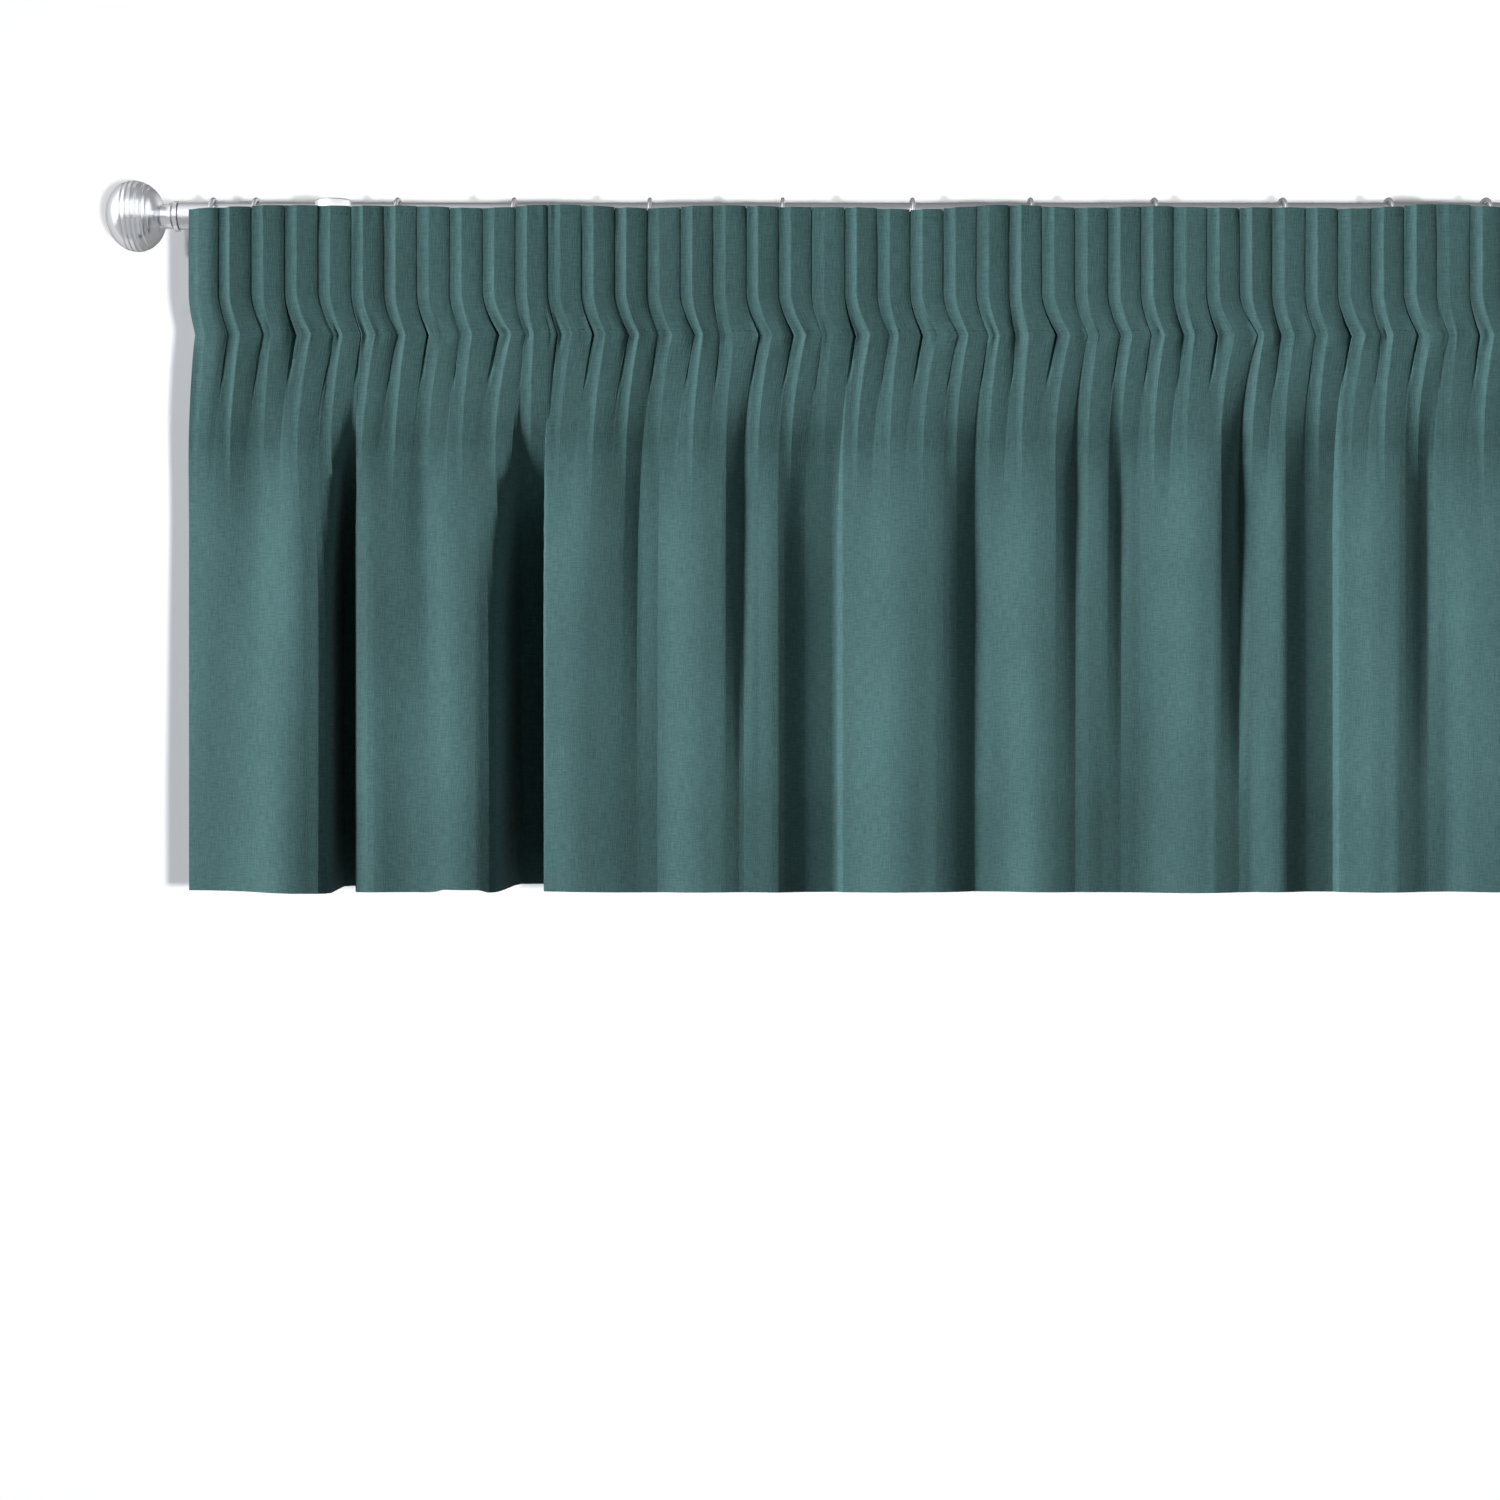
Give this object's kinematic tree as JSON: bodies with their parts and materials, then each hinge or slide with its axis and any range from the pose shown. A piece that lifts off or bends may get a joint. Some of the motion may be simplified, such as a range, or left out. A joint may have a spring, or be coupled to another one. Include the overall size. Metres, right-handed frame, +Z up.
{
  "type": "short curtain",
  "caption": "Short pencil pleat curtain in teal cloth, hung by rings and hooks from a chrome rod with ball finials on two wall brackets.",
  "frame": {"origin": "middle of the left wall plate's back face, on the wall", "axes": "+X along the rod to the right as seen from the room, +Y out of the plate's back face into the wall, +Z up; the curtain hangs on the -Y side"},
  "size_m": [0.989, 0.1687, 0.4214],
  "materials": {
    "cloth": "matt teal plain weave with slubs",
    "tape": "white woven pencil pleat tape",
    "chrome": "satin chrome, turned",
    "rod": "satin drawn tube",
    "hook_wire": "zinc plated wire"
  },
  "bodies": {
    "root": {"wall_plate_left": "chrome", "bracket_arm_left": "chrome", "bracket_head_left": "chrome", "clamp_screw_left": "chrome", "finial_left": "chrome", "wall_plate_right": "chrome", "bracket_arm_right": "chrome", "bracket_head_right": "chrome", "clamp_screw_right": "chrome", "finial_right": "chrome", "rod_tube": "rod", "curtain_cloth": "cloth", "heading_tape": "tape", "ring_01": "chrome", "hook_01": "hook_wire", "ring_02": "chrome", "hook_02": "hook_wire", "ring_03": "chrome", "hook_03": "hook_wire", "ring_04": "chrome", "hook_04": "hook_wire", "ring_05": "chrome", "hook_05": "hook_wire", "ring_06": "chrome", "hook_06": "hook_wire", "ring_07": "chrome", "hook_07": "hook_wire", "ring_08": "chrome", "hook_08": "hook_wire", "ring_09": "chrome", "hook_09": "hook_wire", "ring_10": "chrome", "hook_10": "hook_wire", "ring_11": "chrome", "hook_11": "hook_wire", "ring_12": "chrome", "hook_12": "hook_wire", "ring_13": "chrome", "hook_13": "hook_wire", "ring_14": "chrome", "hook_14": "hook_wire"}
  },
  "joints": []
}
